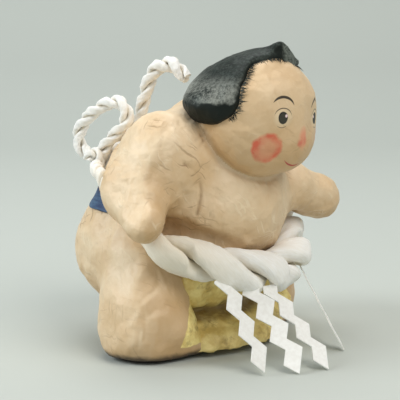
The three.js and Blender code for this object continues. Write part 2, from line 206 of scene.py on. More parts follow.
def stored(tree, geometry, name, value):
    inputs = {"Geometry": geometry, "Name": name, "Value": value}
    return shaped(tree, "StoreNamedAttribute", inputs, data_type="FLOAT", domain="POINT")


strands, given = node_group("laid_strands", "Geometry", {
    "Geometry": "Geometry", "Breadth": "Float", "Sides": "Int", "Fibre Depth": "Float",
    "Fibre Count": "Float", "Level": "Bool", "Unevenness": "Float", "Material": "Material",
}, {"Geometry": "Geometry"})
place = shaped(strands, "InputPosition")
spline = add(strands, "GeometryNodeSplineParameter")
ring = shaped(strands, "CurvePrimitiveCircle", {"Resolution": given["Sides"], "Radius": 1.0})
grain = minus(strands, noise(strands, place, given["Fibre Count"], 2.0)["Fac"], 0.5)
rib = maths(strands, "MULTIPLY_ADD", grain, given["Fibre Depth"], 1.0)
oval = add(strands, "ShaderNodeCombineXYZ", {
    "X": -0.5, "Y": times(strands, given["Breadth"], -1.0), "Z": 1.0,
})[0]
oval = scaled(strands, vector_maths(strands, "MULTIPLY", place, oval), rib)
oval = vector_maths(strands, "ADD", oval, (0.5, 0, 0))
section = shaped(strands, "SetPosition", {"Geometry": ring, "Position": oval})
section = stored(strands, section, "around", spline["Factor"])
half_turn = {"Geometry": section, "Rotation": (0, 0, math.pi)}
pair = shaped(strands, "JoinGeometry", {0: section})
feed(strands, pair.node, {0: shaped(strands, "Transform", half_turn)})
line = shaped(strands, "MeshToCurve", {"Mesh": given["Geometry"]})
upright, even = (
    shaped(strands, "SetCurveNormal", {"Curve": line}, mode=mode)
    for mode in ("Z_UP", "MINIMUM_TWIST")
)
line = shaped(strands, "Switch", {
    "Switch": given["Level"], "False": even, "True": upright,
}, input_type="GEOMETRY")
swept = shaped(strands, "CurveToMesh", {
    "Curve": stored(strands, line, "along", spline["Length"]), "Profile Curve": pair,
    "Fill Caps": True, "Scale": shaped(strands, "InputRadius"),
})
lump = minus(strands, noise(strands, place, 240.0, 3.0)["Fac"], 0.5)
swept = pushed_out(strands, swept, times(strands, lump, given["Unevenness"]))
swept = shaped(strands, "SetShadeSmooth", {"Geometry": swept})
end_group(strands, swept, given["Material"])


def mark(mesh, name, values):
    attribute = mesh.attributes.new(name, "FLOAT", "POINT")
    attribute.data.foreach_set("value", np.asarray(values, np.float32))


def path_of(name, points, radii, tilts):
    mesh = bpy.data.meshes.new(name)
    mesh.from_pydata([tuple(p) for p in points], [(i, i + 1) for i in range(len(points) - 1)], [])
    mark(mesh, "radius", radii)
    mark(mesh, "tilt", tilts)
    return piece(name, mesh)


def spline_through(points, per_span):
    points = np.asarray(points, float)
    ends = np.vstack([2 * points[0] - points[1], points, 2 * points[-1] - points[-2]])
    t = np.linspace(0, 1, per_span, endpoint=False)[:, None]
    rows = []
    for a, b, c, d in zip(ends, ends[1:], ends[2:], ends[3:]):
        bend = (2 * a - 5 * b + 4 * c - d) * t ** 2 + (3 * b - a - 3 * c + d) * t ** 3
        rows.append(b + 0.5 * ((c - a) * t + bend))
    return np.vstack(rows + [points[-1:]])


def run_of(points):
    return np.concatenate([[0], np.cumsum(np.linalg.norm(np.diff(points, axis=0), axis=1))])


cotton, tree, shader = finish("white_cotton")
around, along = (
    add(tree, "ShaderNodeAttribute", attribute_name=name)["Fac"] for name in ("around", "along")
)
fibre = add(tree, "ShaderNodeCombineXYZ", {
    "X": times(tree, around, 60.0), "Y": times(tree, along, 260.0),
})[0]
fibre = noise(tree, fibre, 1.0, 4.0, Distortion=0.6)["Fac"]
place = object_place(tree)
white = mixed(tree, stepped(tree, fibre, 0.35, 0.75), srgb(244, 241, 234), srgb(252, 251, 248))
# The side of the rope towards the doll's right is painted darker and warmer: painted shade under the
# arm and belly, with a little random soil mixed in.
shade_side = stepped(tree, axes(tree, place)["X"], -20 * MM, -55 * MM)
soil_and_shade = stepped(tree, noise(tree, place, 90.0, 3.0)["Fac"], 0.45, 0.75)
soil_and_shade = maths(tree, "ADD", times(tree, soil_and_shade, 0.06), times(tree, shade_side, 0.55))
white = mixed(tree, soil_and_shade, white, srgb(226, 213, 184))
# The inner side of each strand, where the two meet, is painted darker: painted shade in the grooves of
# the lay.
groove = maths(tree, "ABSOLUTE", minus(tree, around, 0.5))
white = painted(tree, white, stepped(tree, groove, 0.28, 0.46), 0.55, srgb(196, 180, 146))
feed(tree, shader, {
    "Base Color": white, "Roughness": 0.85, "Specular IOR Level": 0.2,
    "Subsurface Weight": 0.3, "Subsurface Radius": (3 * MM, 3 * MM, 2.8 * MM),
})
embossed(tree, shader, fibre, 0.3, 0.5 * MM)

knot_low, knot_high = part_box("rope_knot")
knot_centre = np.array((knot_low + knot_high) / 2)
cord_radius = 3.4 * MM
cord_twist = 22 * MM
loop_side = -13
loop_points = np.array([(loop_side, y, z) for y, z in (
    (48.3, 96), (42.4, 101.6), (37.7, 106.2), (35.7, 110.8), (37.6, 115.3), (42.8, 117.3),
    (50, 115.2), (57.2, 111), (63.6, 105.6), (67.3, 98.4), (65.6, 92.2), (60.4, 89),
)]) * MM
tail_points = np.array([
    (-3.5, 49.5, 94), (-1.5, 44.5, 101), (0, 38.5, 108), (0, 34.3, 120), (0, 29.5, 131),
    (0, 22.8, 136), (0, 15.3, 135.5), (0, 8, 130),
]) * MM
for name, points, far_end in (
    ("rope_loop_cord", np.vstack([knot_centre, loop_points, knot_centre]), "object"),
    ("rope_tail_cord", np.vstack([knot_centre, tail_points]), "bare"),
):
    line = spline_through(points, 24)
    run = run_of(line)
    radii = np.full(len(line), cord_radius)
    if far_end == "bare":
        share = run / run[-1]
        frayed, cut = np.clip(2 * share - 0.8, 0, 1), np.clip((share - 0.92) / 0.08, 0, 1)
        radii *= 1 + 0.2 * frayed - 0.35 * cut
    cord = grown(path_of(name, line, radii, run / cord_twist * 2 * math.pi), strands, {
        "Breadth": 0.72, "Sides": 28, "Fibre Depth": 0.2, "Fibre Count": 4.0, "Level": False,
        "Unevenness": 2 * MM, "Material": cotton,
    })
    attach(cord, "doll")
    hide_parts(name.removesuffix("_cord"))


# Skin of the body: sheets of thin paper pasted over hollow shells and rubbed down while wet,
# so that it runs on over the joints from one shell to the next and keeps the paper's wrinkles.
# The forms below are in millimetres: each body part is a few swellings and tapers run together.
def swelling(centre, radii):
    centre, radii = np.array(centre, float), np.array(radii, float)

    def field(p):
        q = (p - centre) / radii
        near = np.linalg.norm(q, axis=1)
        return near * (near - 1) / (np.linalg.norm(q / radii, axis=1) + 1e-9)
    return field


def both_sides(centre, radii):
    return [swelling((side * centre[0], *centre[1:]), radii) for side in (-1, 1)]


def taper(root, root_radius, end, end_radius):
    root = np.array(root, float)
    along = np.array(end, float) - root

    def field(p):
        offset = p - root
        t = np.clip(offset @ along / (along @ along), 0, 1)
        radius = root_radius + (end_radius - root_radius) * t
        return np.linalg.norm(offset - t[:, None] * along, axis=1) - radius
    return field


def soft_least(a, b, softness):
    h = np.maximum(softness - np.abs(a - b), 0) / softness
    return np.minimum(a, b) - h * h * softness / 4


def soft_most(a, b, softness):
    return -soft_least(-a, -b, softness)


def together(fields, softness):
    def field(p):
        value = fields[0](p)
        for other in fields[1:]:
            value = soft_least(value, other(p), softness)
        return value
    return field


def pressed(field, way, level, softness=2.5):
    return lambda p: soft_most(field(p), p @ np.array(way) - level, softness)


def slope_of(field, points):
    nudge = 0.05
    steps = nudge * np.eye(3)
    rises = np.stack([field(points + step) - field(points - step) for step in steps], axis=1)
    return rises / (2 * nudge)


def reach_along(field, start, directions, level=0.0):
    furthest, halvings = 140, 12
    low = np.zeros(len(directions))
    high = np.full(len(directions), float(furthest))
    inside = np.arange(len(directions))
    level = np.broadcast_to(level, len(directions))
    start = np.broadcast_to(start, directions.shape)
    for step in range(1, furthest):
        out = field(start[inside] + directions[inside] * step) >= level[inside]
        high[inside[out]] = step
        low[inside[out]] = step - 1
        inside = inside[~out]
        if not len(inside):
            break
    for _ in range(halvings):
        middle = (low + high) / 2
        out = field(start + directions * middle[:, None]) >= level
        high = np.where(out, middle, high)
        low = np.where(out, low, middle)
    return high


def moulded(field, centre, detail):
    ball = bmesh.new()
    bmesh.ops.create_icosphere(ball, subdivisions=detail, radius=1)
    directions = np.array([v.co for v in ball.verts])
    faces = np.array([[v.index for v in f.verts] for f in ball.faces])
    ball.free()
    directions /= np.linalg.norm(directions, axis=1)[:, None]
    centre = np.array(centre, float)
    return centre + directions * reach_along(field, centre, directions)[:, None], faces


def mesh_of(name, points, faces):
    mesh = bpy.data.meshes.new(name)
    mesh.from_pydata((np.asarray(points) * MM).tolist(), [], [list(map(int, f)) for f in faces])
    mesh.shade_smooth()
    return mesh


def read(items, key, width, kind=float):
    values = np.zeros(len(items) * width, kind)
    items.foreach_get(key, values)
    return values.reshape(-1, width)


def points_of(mesh):
    return read(mesh.vertices, "co", 3) / MM


def set_points(mesh, points):
    mesh.vertices.foreach_set("co", (points * MM).ravel())
    mesh.update()


def fused(name, forms, voxel):
    points = [form_points for form_points, _ in forms]
    before = np.cumsum([0] + [len(p) for p in points])
    faces = [form_faces + count for (_, form_faces), count in zip(forms, before)]
    made = piece(name, mesh_of(name, np.vstack(points), np.vstack(faces)))
    remesh = made.modifiers.new("fuse", "REMESH")
    remesh.mode = "VOXEL"
    remesh.voxel_size = voxel * MM
    return evaluated(made)


def drawn_to(field, points, rounds):
    longest = 2
    for _ in range(rounds):
        slope = slope_of(field, points)
        step = field(points) / (np.sum(slope * slope, axis=1) + 1e-9)
        step = np.clip(step, -longest, longest)
        points = points - slope * step[:, None]
    return points


def split(source, labels, names):
    mesh = source.data
    corners = read(mesh.loops, "vertex_index", 1, int).reshape(-1, 4)
    points, normals = points_of(mesh), read(mesh.vertices, "normal", 3)
    made = []
    for label, name in enumerate(names):
        used, faces = np.unique(corners[labels == label], return_inverse=True)
        faces = faces.reshape(-1, 4)
        edges = set()
        for a, b in ((0, 1), (1, 2), (2, 3), (3, 0)):
            edges.update(zip(faces[:, a].tolist(), faces[:, b].tolist()))
        after = {b: a for a, b in edges if (b, a) not in edges}
        part_points, part_normals = [points[used]], [normals[used]]
        caps = []
        count = len(used)
        while after:
            start, onward = next(iter(after.items()))
            del after[start]
            rim = [start]
            while onward != start and onward in after:
                rim.append(onward)
                onward = after.pop(onward)
            part_points.append(points[used][rim].mean(axis=0)[None])
            part_normals.append(np.array([[0, 0, 1]]))
            caps += [[a, b, count] for a, b in zip(rim, rim[1:] + rim[:1])]
            count += 1
        part = mesh_of(name, np.vstack(part_points), faces.tolist() + caps)
        part.normals_split_custom_set_from_vertices(np.vstack(part_normals).tolist())
        made.append(piece(name, part))
    return made


torso = together([
    swelling((0, 18, 49), (42, 36, 30)), *both_sides((22, 24.5, 47), (28.5, 29.6, 30.5)),
    swelling((0, -12, 70), (39, 33, 33)), swelling((0, 14, 79), (36.5, 38, 29)),
    swelling((0, -6, 94), (38, 28, 29)),
], 10)


def leg(side):
    form = together([
        taper((side * 34, 8, 43), 22.5, (side * 46, 0, 20), 21.8),
        swelling((side * 46, -2, 11), (23, 23, 14)), swelling((side * 35, -17, 5), (12, 9, 4)),
    ], 8)
    form = pressed(form, (side * 0.909, 0.405, 0.101), 65.3)
    return pressed(form, (side * 0.545, -0.832, -0.103), 46.6)


right_leg, left_leg = leg(-1), leg(1)
right_shoulder, right_elbow, right_hand = (-37, -3, 95), (-53, -1, 81), (-66, -15, 70)
right_arm = pressed(together([
    swelling(right_shoulder, (21, 20, 22)), taper(right_shoulder, 14.5, right_elbow, 14.5),
    taper(right_elbow, 14.5, right_hand, 9.4),
], 8), (-0.874, 0.057, 0.482), 97.3)
left_shoulder, left_elbow, left_hand = (36, -5, 91), (38, -27, 74.2), (60.8, -32.8, 66.3)
left_arm = together([
    swelling(left_shoulder, (19, 19, 20)), taper(left_shoulder, 11.5, left_elbow, 11.6),
    taper(left_elbow, 11.6, left_hand, 10.9),
], 5)
head_middle = np.array([0, -33, 115.0])
head = together([
    swelling(head_middle, (30, 28, 28)), swelling((0, -35.7, 104.9), (27, 24.7, 20.3)),
    swelling((0, -38.3, 122.7), (25.5, 21.2, 21.6)),
], 5)
parts = [torso, right_arm, left_arm, right_leg, left_leg, head]
part_middles = [(0, 3, 70), right_elbow, (38, -27, 76), (-46, 0, 20), (46, 0, 20), head_middle]
joint_softness = [11, 8, 7, 7, 2.5]
belly_fold = [(41, -6, 61), (40, -18, 60.5), (36.5, -26.5, 58), (31, -32.5, 54.5), (23, -37, 50)]
fold_radius = 6.5


def under_belly(p):
    one_side = np.column_stack([np.abs(p[:, 0]), p[:, 1:]])
    spans = zip(belly_fold, belly_fold[1:])
    return together([taper(a, fold_radius, b, fold_radius) for a, b in spans], 1)(one_side)


def skin_field(p):
    value = torso(p)
    for part, softness in zip(parts[1:], joint_softness):
        value = soft_least(value, part(p), softness)
    return soft_most(value, -under_belly(p), 2.5)


def bent_place(tree, place, scale, amount):
    bend = scaled(tree, noise(tree, place, scale, 2.0)["Color"], amount)
    return vector_maths(tree, "ADD", place, bend)


def paper_strips(tree, place, scale):
    inputs = {"Vector": place, "Scale": scale}
    return add(tree, "ShaderNodeTexVoronoi", inputs, feature="F1", distance="CHEBYCHEV")["Distance"]


wrinkles, given = node_group("pasted_paper", "Geometry", {
    "Geometry": "Geometry", "Lump Height": "Float", "Lump Size": "Float",
    "Strip Slope": "Float", "Strip Size": "Float", "Material": "Material",
}, {"Geometry": "Geometry"})
place = shaped(wrinkles, "InputPosition")
lumps = noise(wrinkles, place, maths(wrinkles, "DIVIDE", 1.0, given["Lump Size"]), 2.0)["Fac"]
lumps = times(wrinkles, minus(wrinkles, lumps, 0.5), given["Lump Height"])
bent = bent_place(wrinkles, place, 70.0, 8 * MM)
folds = paper_strips(wrinkles, bent, maths(wrinkles, "DIVIDE", 1.0, given["Strip Size"]))
folds = minus(wrinkles, folds, 0.4)
folds = times(wrinkles, folds, given["Strip Size"], given["Strip Slope"])
rough = pushed_out(wrinkles, given["Geometry"], maths(wrinkles, "ADD", lumps, folds))
end_group(wrinkles, rough, given["Material"])


def turned(tree, vector, turn):
    inputs = {"Vector": vector, "Rotation": turn}
    return add(tree, "ShaderNodeVectorRotate", inputs, rotation_type="EULER_XYZ")[0]


scratch, given = node_group("paper_lines", "Shader", {
    "Vector": "Vector", "Normal": "Vector", "Turn": "Vector", "Amount": "Float",
}, {"Mask": "Float"})
sheets = turned(scratch, given["Vector"], given["Turn"])
sheets = vector_maths(scratch, "MULTIPLY", sheets, (980, 90, 90))
thread = noise(scratch, sheets, 1.0, 0.0)["Fac"]
low = minus(scratch, 0.8, given["Amount"])
thread = maths(scratch, "DIVIDE", minus(scratch, thread, low), 0.06, clamp=True)
facing = axes(scratch, turned(scratch, given["Normal"], given["Turn"]))["X"]
edge_on = stepped(scratch, maths(scratch, "ABSOLUTE", facing), 0.8, 0.45)
add(scratch, "NodeGroupOutput", {"Mask": times(scratch, thread, edge_on)})

torn, given = node_group("torn_paper", "Shader", {"Vector": "Vector", "Normal": "Vector"}, {
    "Blotch": "Float", "Dark": "Float", "Light": "Float", "Height": "Float",
})
place = given["Vector"]
blotch = noise(torn, place, 42.0, 5.0, Roughness=0.6)["Fac"]
bent = bent_place(torn, place, 110.0, 6 * MM)


def lines_of(amount, turns):
    lines = [add(torn, "ShaderNodeGroup", {
        "Vector": bent, "Normal": given["Normal"], "Turn": turn, "Amount": amount,
    }, node_tree=scratch)["Mask"] for turn in turns]
    return maths(torn, "MAXIMUM", maths(torn, "MAXIMUM", lines[0], lines[1]), lines[2])


dark = lines_of(0.11, ((0.3, 0.9, 0.2), (1.4, 0.2, 2.1), (0.1, 0.3, 1.6)))
dark = times(torn, dark, stepped(torn, noise(torn, place, 40.0, 2.0)["Fac"], 0.5, 0.62))
light = lines_of(0.12, ((0.7, 2.2, 1.1), (2.5, 1.3, 0.5), (0.9, 0.1, 0.7)))
light = times(torn, light, stepped(torn, blotch, 0.5, 0.42))
broad = paper_strips(torn, turned(torn, bent, (0.4, 0.7, 0.2)), 85.0)
narrow = paper_strips(torn, turned(torn, bent, (1.2, 0.3, 0.9)), 210.0)
height = maths(torn, "MULTIPLY_ADD", narrow, 0.4, broad)
height = maths(torn, "MULTIPLY_ADD", noise(torn, place, 600.0, 3.0)["Fac"], 0.12, height)
height = maths(torn, "MULTIPLY_ADD", minus(torn, light, dark), 0.15, height)
add(torn, "NodeGroupOutput", {"Blotch": blotch, "Dark": dark, "Light": light, "Height": height})


def surface_normal(tree):
    return add(tree, "ShaderNodeNewGeometry")["Normal"]


def covered_by(tree, group):
    inputs = {"Vector": object_place(tree), "Normal": surface_normal(tree)}
    return add(tree, "ShaderNodeGroup", inputs, node_tree=group)


def paper_skin(name, light, dark, deep, line, marked):
    material, tree, shader = finish(name)
    paper = covered_by(tree, torn)
    colour = mixed(tree, stepped(tree, paper["Blotch"], 0.35, 0.7), light, dark)
    facing, place = axes(tree, surface_normal(tree)), axes(tree, object_place(tree))
    # Faces that point downwards are painted towards the deep tan: painted shade under the chin, belly
    # and arms.
    under_shade = stepped(tree, facing["Z"], 0.25, -0.75)
    colour = painted(tree, colour, under_shade, 0.55, deep)
    # Faces that point to the doll's front are painted darker, most on the right hand and the lower
    # body: painted shade on the side away from the main light.
    hand = stepped(tree, place["X"], -42 * MM, -58 * MM)
    foot = stepped(tree, place["Z"], 50 * MM, 30 * MM)
    front_shade_amount = maths(tree, "MULTIPLY_ADD", maths(tree, "MAXIMUM", hand, foot), 0.44, 0.14)
    frontward = stepped(tree, facing["Y"], -0.35, -0.9)
    colour = painted(tree, colour, frontward, front_shade_amount, deep)
    colour = painted(tree, colour, paper["Light"], 0.3 * marked, srgb(248, 232, 202))
    colour = painted(tree, colour, paper["Dark"], 0.4 * marked, line)
    # The creases at the shoulder and armpit are painted darker along their lines: painted shade in the
    # creases.
    crease = add(tree, "ShaderNodeAttribute", attribute_name="crease")["Fac"]
    colour = painted(tree, colour, crease, 0.6, line)
    feed(tree, shader, {"Base Color": colour, "Roughness": 0.48, "Specular IOR Level": 0.5})
    embossed(tree, shader, paper["Height"], 0.2 + 0.3 * marked, 2.2 * MM)
    return material, tree, shader, colour


skin_light, skin_dark = srgb(236, 213, 179), srgb(220, 190, 149)
# The deep tan is the colour that painted shade is mixed towards.
skin_shade_paint, skin_line = srgb(190, 150, 98), srgb(132, 94, 56)
skin_paper = paper_skin("skin_paper", skin_light, skin_dark, skin_shade_paint, skin_line, 1.0)[0]
forms = [moulded(part, middle, 5) for part, middle in zip(parts, part_middles)]
body = fused("body_skin", forms, 0.8)
skin_points = drawn_to(skin_field, points_of(body.data), 4)
set_points(body.data, skin_points)
shoulder_creases = [
    [(-29.1, -26, 109.3), (-29.4, -22.7, 104.8), (-35.1, -22.7, 101.2)],
    [(-28.3, -22.5, 109), (-30.5, -21.2, 106.2), (-34.7, -21.3, 104.8)],
    [(-35, -23.8, 87.4), (-34, -24.8, 81.7), (-35.1, -25, 76.1), (-36.3, -24.1, 70.4)],
    [(-43.9, -22.1, 95.1), (-38.2, -23.2, 91.6), (-34.5, -24, 87.4)],
]


def creased(points, width):
    apart = np.full(len(points), np.inf)
    for crease in shoulder_creases:
        line = spline_through(crease, 6)
        for a, b in zip(line, line[1:]):
            share = np.clip((points - a) @ (b - a) / ((b - a) @ (b - a)), 0, 1)
            apart = np.minimum(apart, np.linalg.norm(points - a - share[:, None] * (b - a), axis=1))
    return np.exp(-(apart / width) ** 2)


crease_depth, neck_depth, jaw_height = 0.6, 1.2, 109
neck = np.exp(-(head(skin_points) ** 2 + torso(skin_points) ** 2) / 5)
neck *= np.clip((jaw_height - skin_points[:, 2]) / 9, 0.3, 1)
dent = -crease_depth * creased(skin_points, 1.1) - neck_depth * neck
set_points(body.data, skin_points + read(body.data.vertices, "normal", 3) * dent[:, None])
body = grown(body, wrinkles, {
    "Lump Height": 1.5 * MM, "Lump Size": 17 * MM, "Strip Slope": 0.16, "Strip Size": 19 * MM,
    "Material": skin_paper,
})
sole_height = 2.2
skin_points = points_of(body.data)
skin_points[:, 2] = np.maximum(skin_points[:, 2], sole_height)
set_points(body.data, skin_points)
face_middles = read(body.data.polygons, "center", 3) / MM
nearest_part = np.argmin(np.stack([part(face_middles) for part in parts]), axis=0)
skin_nodes = {
    "torso_skin": ("torso_front", "torso_rear"), "right_arm_skin": ("right_arm",),
    "left_arm_skin": ("left_arm",), "right_leg_skin": ("right_leg",),
    "left_leg_skin": ("left_leg",), "head_skin": ("face_shell", "head_rear"),
}
skins = split(body, nearest_part, skin_nodes)
bpy.data.objects.remove(body)
for skin, nodes in zip(skins, skin_nodes.values()):
    skin.data.materials.append(skin_paper)
    mark(skin.data, "crease", creased(points_of(skin.data), 0.75))
    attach(skin, "doll")
    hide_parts(*nodes)

gilt, given = node_group("gold_paint", "Shader", {"Vector": "Vector", "Normal": "Vector"}, {
    "Colour": "Color", "Height": "Float",
})
place = given["Vector"]
paper = {"Vector": place, "Normal": given["Normal"]}
paper = add(gilt, "ShaderNodeGroup", paper, node_tree=torn)
rub = stepped(gilt, noise(gilt, place, 130.0, 6.0, Roughness=0.65)["Fac"], 0.35, 0.65)
leaf = mixed(gilt, rub, srgb(255, 236, 160), srgb(230, 202, 122))
stain = stepped(gilt, noise(gilt, place, 95.0, 7.0, Roughness=0.7)["Fac"], 0.52, 0.68)
leaf = painted(gilt, leaf, stain, 0.6, srgb(140, 108, 48))
leaf = painted(gilt, leaf, paper["Dark"], 0.5, srgb(130, 100, 44))
add(gilt, "NodeGroupOutput", {"Colour": leaf, "Height": paper["Height"]})


def wavered(tree, place, scale, detail, reach):
    waver = noise(tree, object_place(tree), scale, detail)["Color"]
    waver = vector_maths(tree, "SUBTRACT", waver, (0.5, 0.5, 0.5))
    return vector_maths(tree, "ADD", place, vector_maths(tree, "MULTIPLY", waver, reach))


def edged(tree, distance, softness):
    return maths(tree, "ADD", maths(tree, "DIVIDE", distance, softness), 0.5, clamp=True)


leg_paper, tree, shader, colour = paper_skin(
    "leg_paper", skin_light, skin_dark, skin_shade_paint, skin_line, 0.4,
)
apart = axes(tree, wavered(tree, object_place(tree), 160.0, 3.0, (3 * MM, 0, 3 * MM)))
# The bottom few millimetres of the legs are painted almost black: painted shadow where the feet meet
# the ground.
sole_shadow = stepped(tree, apart["Z"], 5.8 * MM, 2.8 * MM)
colour = painted(tree, colour, sole_shadow, 0.85, srgb(44, 35, 25))
above = maths(tree, "MAXIMUM", minus(tree, apart["Z"], 8 * MM), 0.0)
inward = minus(tree, 49 * MM, times(tree, above, above, 40.0))
inward = minus(tree, inward, maths(tree, "ABSOLUTE", apart["X"]))
gilded = maths(tree, "MINIMUM", inward, minus(tree, apart["Z"], 7.8 * MM))
gilded = maths(tree, "MINIMUM", gilded, minus(tree, -4 * MM, apart["Y"]))
gilded = edged(tree, gilded, 0.4 * MM)
feed(tree, shader, {
    "Base Color": mixed(tree, gilded, colour, covered_by(tree, gilt)["Colour"]),
    "Metallic": times(tree, gilded, 0.1),
})
for skin in skins[3:5]:
    skin.data.materials[0] = leg_paper


# Face: brows, eyes, nose, cheeks and mouth, brushed in thin paint on the paper of the head.
# Every mark is placed in degrees: how far round the head to the doll's right, and how far up.
# The map holds those angles in units of a hundred degrees.
head_skin = skins[5]
offset = points_of(head_skin.data) - head_middle
turn = np.degrees(np.arctan2(-offset[:, 0], -offset[:, 1])) / 100
rise = np.degrees(np.arcsin(offset[:, 2] / np.linalg.norm(offset, axis=1))) / 100
corners = read(head_skin.data.loops, "vertex_index", 1, int).ravel()
face_map = head_skin.data.uv_layers.new(name="face")
angles = np.stack([turn[corners], rise[corners]], axis=1).astype(np.float32)
face_map.data.foreach_set("uv", angles.ravel())


def length_of(tree, vector):
    return add(tree, "ShaderNodeVectorMath", {0: vector}, operation="LENGTH")["Value"]


stroke, given = node_group("brush_arc", "Shader", {
    "Face": "Vector", "Centre": "Vector", "Radius": "Float", "Middle": "Float",
    "Half Angle": "Float", "Thickness": "Float",
}, {"Mask": "Float"})
offset = vector_maths(stroke, "SUBTRACT", given["Face"], given["Centre"])
apart = axes(stroke, offset)
bearing = maths(stroke, "ARCTAN2", apart["Y"], apart["X"])
swing = minus(stroke, bearing, given["Middle"])
swing = maths(stroke, "ABSOLUTE", maths(stroke, "WRAP", swing, math.pi, -math.pi))
swing = maths(stroke, "DIVIDE", swing, given["Half Angle"])
thick = times(stroke, given["Thickness"], minus(stroke, 1.0, maths(stroke, "POWER", swing, 3.0)))
miss = maths(stroke, "ABSOLUTE", minus(stroke, length_of(stroke, offset), given["Radius"]))
mask = edged(stroke, minus(stroke, thick, miss), 0.0035)
add(stroke, "NodeGroupOutput", {"Mask": mask})

spot, given = node_group("brush_spot", "Shader", {
    "Face": "Vector", "Centre": "Vector", "Half Size": "Vector", "Tilt": "Float",
    "Softness": "Float",
}, {"Mask": "Float"})
offset = vector_maths(spot, "SUBTRACT", given["Face"], given["Centre"])
offset = add(spot, "ShaderNodeVectorRotate", {
    "Vector": offset, "Angle": given["Tilt"],
}, rotation_type="Z_AXIS")[0]
offset = vector_maths(spot, "DIVIDE", offset, given["Half Size"])
inside = minus(spot, 1.0, length_of(spot, offset))
add(spot, "NodeGroupOutput", {"Mask": edged(spot, inside, given["Softness"])})

face_paper, tree, shader, colour = paper_skin(
    "face_paper", srgb(229, 202, 164), srgb(214, 182, 140), skin_shade_paint, skin_line, 0.35,
)
face_place = add(tree, "ShaderNodeUVMap", uv_map="face")[0]
rough_place = wavered(tree, face_place, 260.0, 4.0, (0.05, 0.05, 0))


def dab(place, centre, half_size, softness, tilt=0):
    return add(tree, "ShaderNodeGroup", {
        "Face": place, "Centre": (centre[0] / 100, centre[1] / 100, 0),
        "Half Size": (half_size[0] / 100, half_size[1] / 100, 1),
        "Tilt": math.radians(tilt), "Softness": softness,
    }, node_tree=spot)["Mask"]


def arc(first, middle, last, thickness):
    a, b, c = (np.array(p) / 100 for p in (first, middle, last))
    centre = np.linalg.solve(2 * np.array([b - a, c - b]), [b @ b - a @ a, c @ c - b @ b])
    start, bearing, end = (math.atan2(p[1] - centre[1], p[0] - centre[0]) for p in (a, b, c))
    swings = [(x - bearing + math.pi) % (2 * math.pi) - math.pi for x in (start, end)]
    return add(tree, "ShaderNodeGroup", {
        "Face": face_place, "Centre": (*centre, 0), "Radius": float(np.linalg.norm(a - centre)),
        "Middle": bearing + sum(swings) / 2, "Half Angle": abs(swings[0] - swings[1]) / 2,
        "Thickness": thickness / 100,
    }, node_tree=stroke)["Mask"]


# The sides of the head are painted darker: painted shade under the hair roll and towards the neck.
sideways = maths(tree, "ABSOLUTE", axes(tree, face_place)["X"])
colour = painted(tree, colour, stepped(tree, sideways, 0.45, 0.9), 0.4, skin_shade_paint)
wash = stepped(tree, noise(tree, object_place(tree), 150.0, 5.0)["Fac"], 0.4, 0.6)
wash = maths(tree, "MULTIPLY_ADD", wash, 0.8, 0.3)
for side, cheek_turn in ((1, 45.5), (-1, -47)):
    cheek = dab(rough_place, (cheek_turn, -25), (15.5, 13), 0.22, 24 * side)
    pale = dab(rough_place, (cheek_turn - 2 * side, -25), (10, 8), 0.7, 24 * side)
    colour = painted(tree, colour, cheek, 0.5, srgb(214, 118, 80))
    rim = times(tree, minus(tree, cheek, pale, clamp=True), wash)
    colour = painted(tree, colour, rim, 0.7, srgb(216, 78, 52))
nose_turn = 4.2
for centre, half_size, softness, tilt, strength, paint in (
    ((nose_turn + 0.5, -17.5), (5.4, 8.8), 0.8, 0, 0.6, srgb(232, 128, 100)),
    ((nose_turn - 3.5, -20.5), (3.2, 4), 0.9, 0, 0.4, srgb(220, 100, 78)),
    ((nose_turn + 5, -22), (3.2, 2.6), 1.0, -20, 0.6, srgb(206, 76, 58)),
):
    mask = dab(rough_place, centre, half_size, softness, tilt)
    colour = painted(tree, colour, mask, strength, paint)
face_turn = 2.3
ink = srgb(30, 23, 13)
for side, lower in ((1, 0), (-1, 5.5)):
    for centre, half_size, softness, strength, paint in (
        ((30.6, 2.7), (9, 8), 0.5, 0.35, srgb(236, 222, 190)),
        ((30.6, 2.7), (4.8, 5.7), 0.12, 1.0, srgb(22, 18, 12)),
        ((30.6, 2.4), (3.7, 4.6), 0.3, 0.9, srgb(56, 53, 40)),
        ((27.4, 4.4), (1.2, 1.4), 0.5, 1.0, srgb(240, 214, 214)),
    ):
        centre = (face_turn + side * (centre[0] - face_turn), centre[1] - lower)
        mask = dab(face_place, centre, half_size, softness)
        colour = painted(tree, colour, mask, strength, paint)
    for curve, thickness, strength in (
        (((39.4, 5.4), (29.6, 11.4), (21, 3.9)), 0.45, 0.9),
        (((36.6, -4.2), (31.6, -6.3), (26.8, -4.7)), 0.35, 0.75),
        (((40.2, 16.4), (28.6, 21.2), (17.6, 13.3)), 1.2, 0.95),
    ):
        curve = [(face_turn + side * (lon - face_turn), lat - lower) for lon, lat in curve]
        colour = painted(tree, colour, arc(*curve, thickness), strength, ink)
mouth = arc((24.7, -36.6), (9, -44.0), (-6, -42.2), 0.85)
feed(tree, shader, {"Base Color": painted(tree, colour, mouth, 0.95, srgb(178, 50, 38))})
head_skin.data.materials[0] = face_paper


# Hair: built up over the skull in paper pulp, in a roll round the back and sides, and brushed black.
# The topknot is a ridge of the same pulp that runs forward over the crown to the forehead,
# and the hairline slants across the forehead as the brush left it.
def topknot_form(p):
    x, y, z = p.T
    top = 0.75 * (z - 151.8 + 0.43 * (y + 46.5))
    tent = soft_most(top + 0.66 * x, top - 0.66 * x, 3.5)
    front = soft_most(-0.42 * x - 0.9 * (y + 48.2), -47.7 - 0.22 * (150 - z) - y, 1.5)
    tent = soft_most(soft_most(tent, front, 1.8), 138.6 - z, 1)
    return soft_most(tent, y + 16, 4)


